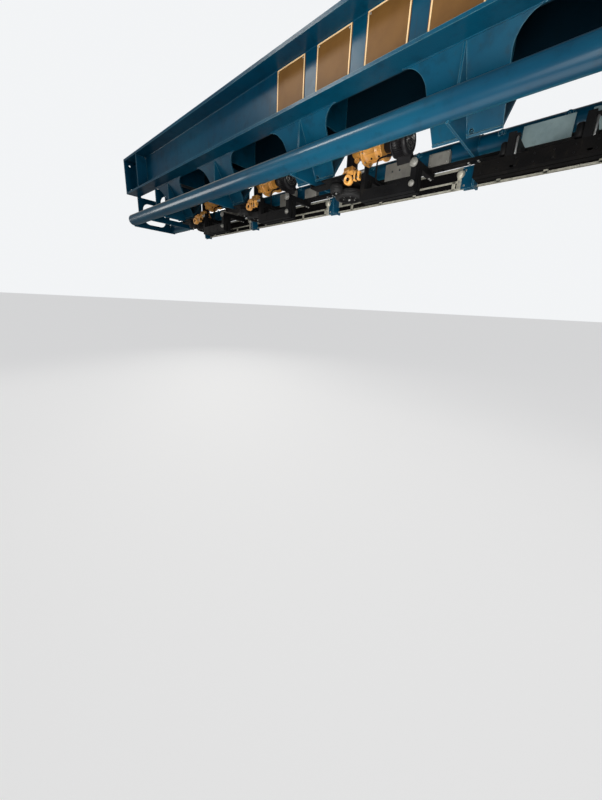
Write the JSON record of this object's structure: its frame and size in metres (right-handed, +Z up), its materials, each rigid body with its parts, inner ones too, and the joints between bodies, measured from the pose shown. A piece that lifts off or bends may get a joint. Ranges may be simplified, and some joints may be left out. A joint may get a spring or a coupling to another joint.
{
  "type": "overhead roller coaster station track section",
  "caption": "Straight overhead station track section for a suspended roller coaster: two-web girder, V-shaped hangers, two tubular rails, a fin brake and drive tyre units, bolted at both ends.",
  "frame": {"origin": "centre of the upper face of the middle support pad, where the section hangs from its building steel", "axes": "+X along the track, the way the view looks down it; +Y across the track to the boarding side; +Z up"},
  "size_m": [6.4, 0.7418, 1.032],
  "materials": {
    "track_blue": "gloss paint, lightly dusty",
    "pad_steel": "primer grey paint",
    "plate_brown": "printed sheet, blank",
    "frame_aluminium": "extruded, dull",
    "unit_black": "black powder coat",
    "unit_grey": "grey paint",
    "unit_pale": "pale grey paint",
    "bar_black": "dark, worn at the faces",
    "motor_ochre": "ochre machine enamel",
    "motor_black": "black machine enamel",
    "wheel_steel": "turned steel",
    "tyre_rubber": "smooth drive tyre"
  },
  "bodies": {
    "root": {"girder": "track_blue", "end_plate_a": "track_blue", "end_plate_b": "track_blue", "support_pad_1": "pad_steel", "support_pad_2": "pad_steel", "support_pad_3": "pad_steel", "rail_near": "track_blue", "rail_far": "track_blue", "end_frame_a": "track_blue", "end_frame_b": "track_blue", "mid_frame_a": "track_blue", "mid_frame_b": "track_blue", "hanger_1": "track_blue", "hanger_2": "track_blue", "hanger_3": "track_blue", "hanger_4": "track_blue", "hanger_5": "track_blue", "unit_beam": "unit_black", "blank_plates": "plate_brown", "cable_rail": "frame_aluminium", "frame_bar": "frame_aluminium", "frame_panels": "bar_black", "frame_posts": "frame_aluminium", "frame_brackets": "track_blue", "brake_base": "unit_black", "brake_plates": "unit_pale", "brake_bars": "bar_black", "drive_base_1": "unit_black", "drive_base_2": "unit_black", "drive_base_3": "unit_black", "guide_plate_1": "unit_grey", "guide_plate_2": "unit_grey", "guide_plate_3": "unit_grey", "gearbox_1": "motor_ochre", "gearbox_2": "motor_ochre", "gearbox_3": "motor_ochre", "motor_1": "motor_black", "motor_2": "motor_black", "motor_3": "motor_black"},
    "drive_1": {"drive_wheel_1": "wheel_steel", "drive_tyre_1": "tyre_rubber"},
    "idler_1": {"idler_wheel_1": "wheel_steel", "idler_tyre_1": "tyre_rubber"},
    "drive_2": {"drive_wheel_2": "wheel_steel", "drive_tyre_2": "tyre_rubber"},
    "idler_2": {"idler_wheel_2": "wheel_steel", "idler_tyre_2": "tyre_rubber"},
    "drive_3": {"drive_wheel_3": "wheel_steel", "drive_tyre_3": "tyre_rubber"},
    "idler_3": {"idler_wheel_3": "wheel_steel", "idler_tyre_3": "tyre_rubber"}
  },
  "joints": [
    {"name": "drive_spin_1", "type": "hinge", "parent": "root", "child": "drive_1", "pos_m": [-0.28, -0.127, -0.914], "axis": [0, 0, 1], "continuous": true},
    {"name": "idler_spin_1", "type": "hinge", "parent": "root", "child": "idler_1", "pos_m": [-0.28, 0.057, -0.914], "axis": [0, 0, 1], "continuous": true},
    {"name": "drive_spin_2", "type": "hinge", "parent": "root", "child": "drive_2", "pos_m": [0.92, -0.127, -0.914], "axis": [0, 0, 1], "continuous": true},
    {"name": "idler_spin_2", "type": "hinge", "parent": "root", "child": "idler_2", "pos_m": [0.92, 0.057, -0.914], "axis": [0, 0, 1], "continuous": true},
    {"name": "drive_spin_3", "type": "hinge", "parent": "root", "child": "drive_3", "pos_m": [1.965, -0.127, -0.914], "axis": [0, 0, 1], "continuous": true},
    {"name": "idler_spin_3", "type": "hinge", "parent": "root", "child": "idler_3", "pos_m": [1.965, 0.057, -0.914], "axis": [0, 0, 1], "continuous": true}
  ]
}
